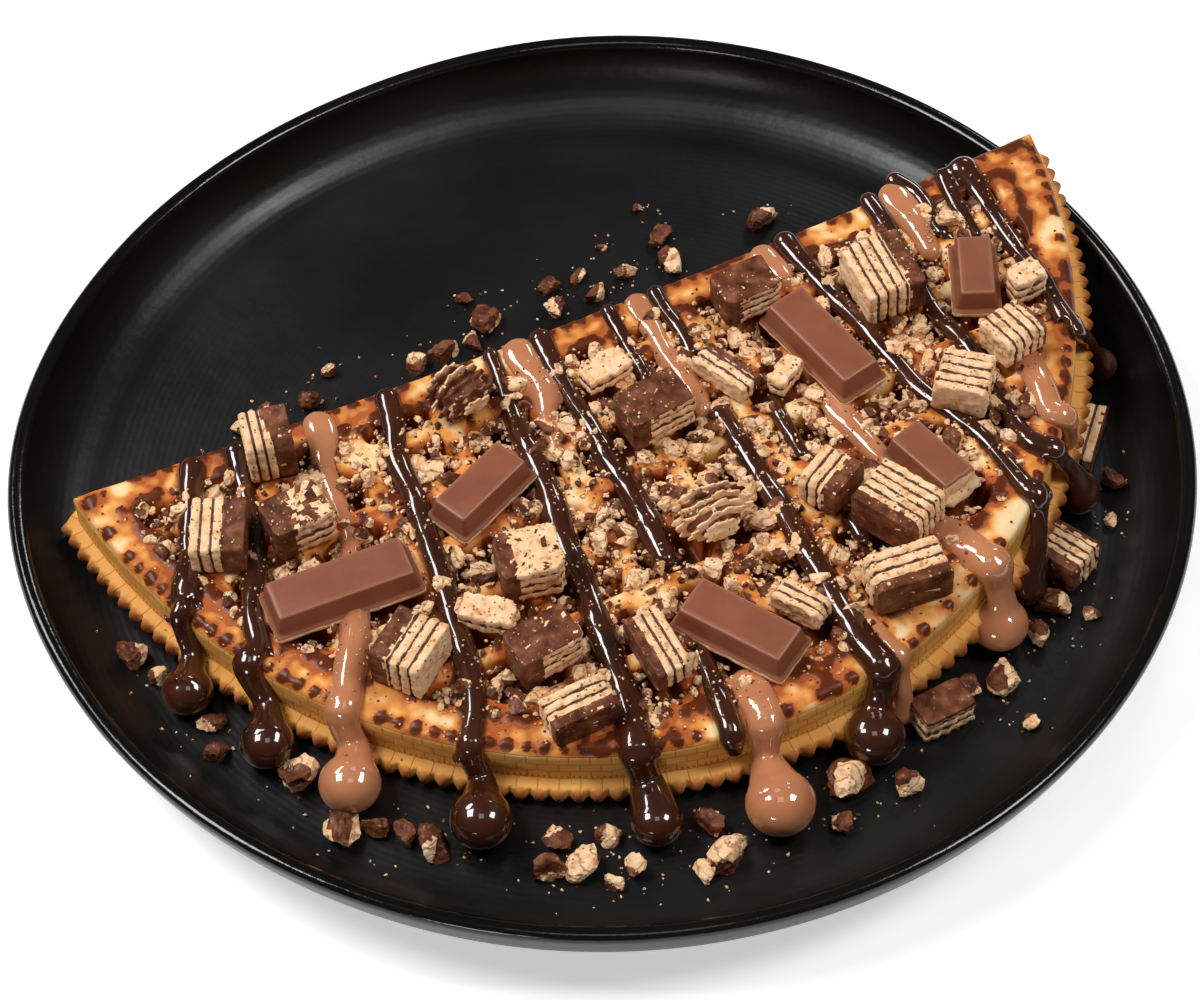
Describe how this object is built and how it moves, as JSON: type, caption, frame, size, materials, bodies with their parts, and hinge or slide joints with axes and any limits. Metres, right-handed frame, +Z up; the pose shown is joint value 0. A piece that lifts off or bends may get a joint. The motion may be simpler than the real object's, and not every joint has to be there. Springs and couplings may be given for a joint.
{
  "type": "dessert on a plate",
  "caption": "Half-moon dessert waffle with chocolate wafer bars, broken wafer chunks and two poured chocolate sauces, lying on a round black stoneware plate.",
  "frame": {"origin": "middle of the plate's foot, on the table", "axes": "+Z up, +Y away from the picture's camera, +X to the picture's right"},
  "size_m": [0.271, 0.269, 0.0427],
  "materials": {
    "black_stoneware": "satin black glaze with fine turning rings",
    "baked_waffle": "matt baked batter, browned on its raised bumps",
    "milk_chocolate": "satin milk chocolate",
    "wafer_and_chocolate": "matt layered wafer with chocolate on some faces",
    "chocolate_sauce": "glossy dark chocolate sauce",
    "milk_sauce": "glossy milk chocolate sauce"
  },
  "bodies": {
    "root": {"plate": "black_stoneware", "waffle": "baked_waffle", "bar_long_left": "milk_chocolate", "bar_short_left": "milk_chocolate", "bar_long_right": "milk_chocolate", "bar_short_right": "milk_chocolate", "bar_broken": "milk_chocolate", "bar_long_front": "milk_chocolate", "chunk_back_left": "wafer_and_chocolate", "chunk_left": "wafer_and_chocolate", "chunk_inner_left": "wafer_and_chocolate", "chunk_front_left": "wafer_and_chocolate", "chunk_front_mid_left": "wafer_and_chocolate", "chunk_front_edge": "wafer_and_chocolate", "chunk_upright_strips": "wafer_and_chocolate", "chunk_rough_middle": "wafer_and_chocolate", "slab_middle_left": "wafer_and_chocolate", "chunk_middle": "wafer_and_chocolate", "chunk_back_middle": "wafer_and_chocolate", "slab_middle_right": "wafer_and_chocolate", "slab_small_right": "wafer_and_chocolate", "chunk_back_right": "wafer_and_chocolate", "chunk_right": "wafer_and_chocolate", "chunk_inner_right": "wafer_and_chocolate", "chunk_centre_right": "wafer_and_chocolate", "chunk_big_right": "wafer_and_chocolate", "chunk_front_right": "wafer_and_chocolate", "crumble_centre": "wafer_and_chocolate", "curl_back_left": "wafer_and_chocolate", "slab_back_middle": "wafer_and_chocolate", "slab_front_middle": "wafer_and_chocolate", "slab_far_right": "wafer_and_chocolate", "slab_on_plate": "wafer_and_chocolate", "chunk_on_plate_right": "wafer_and_chocolate", "chunk_on_plate_front": "wafer_and_chocolate"}
  },
  "joints": []
}
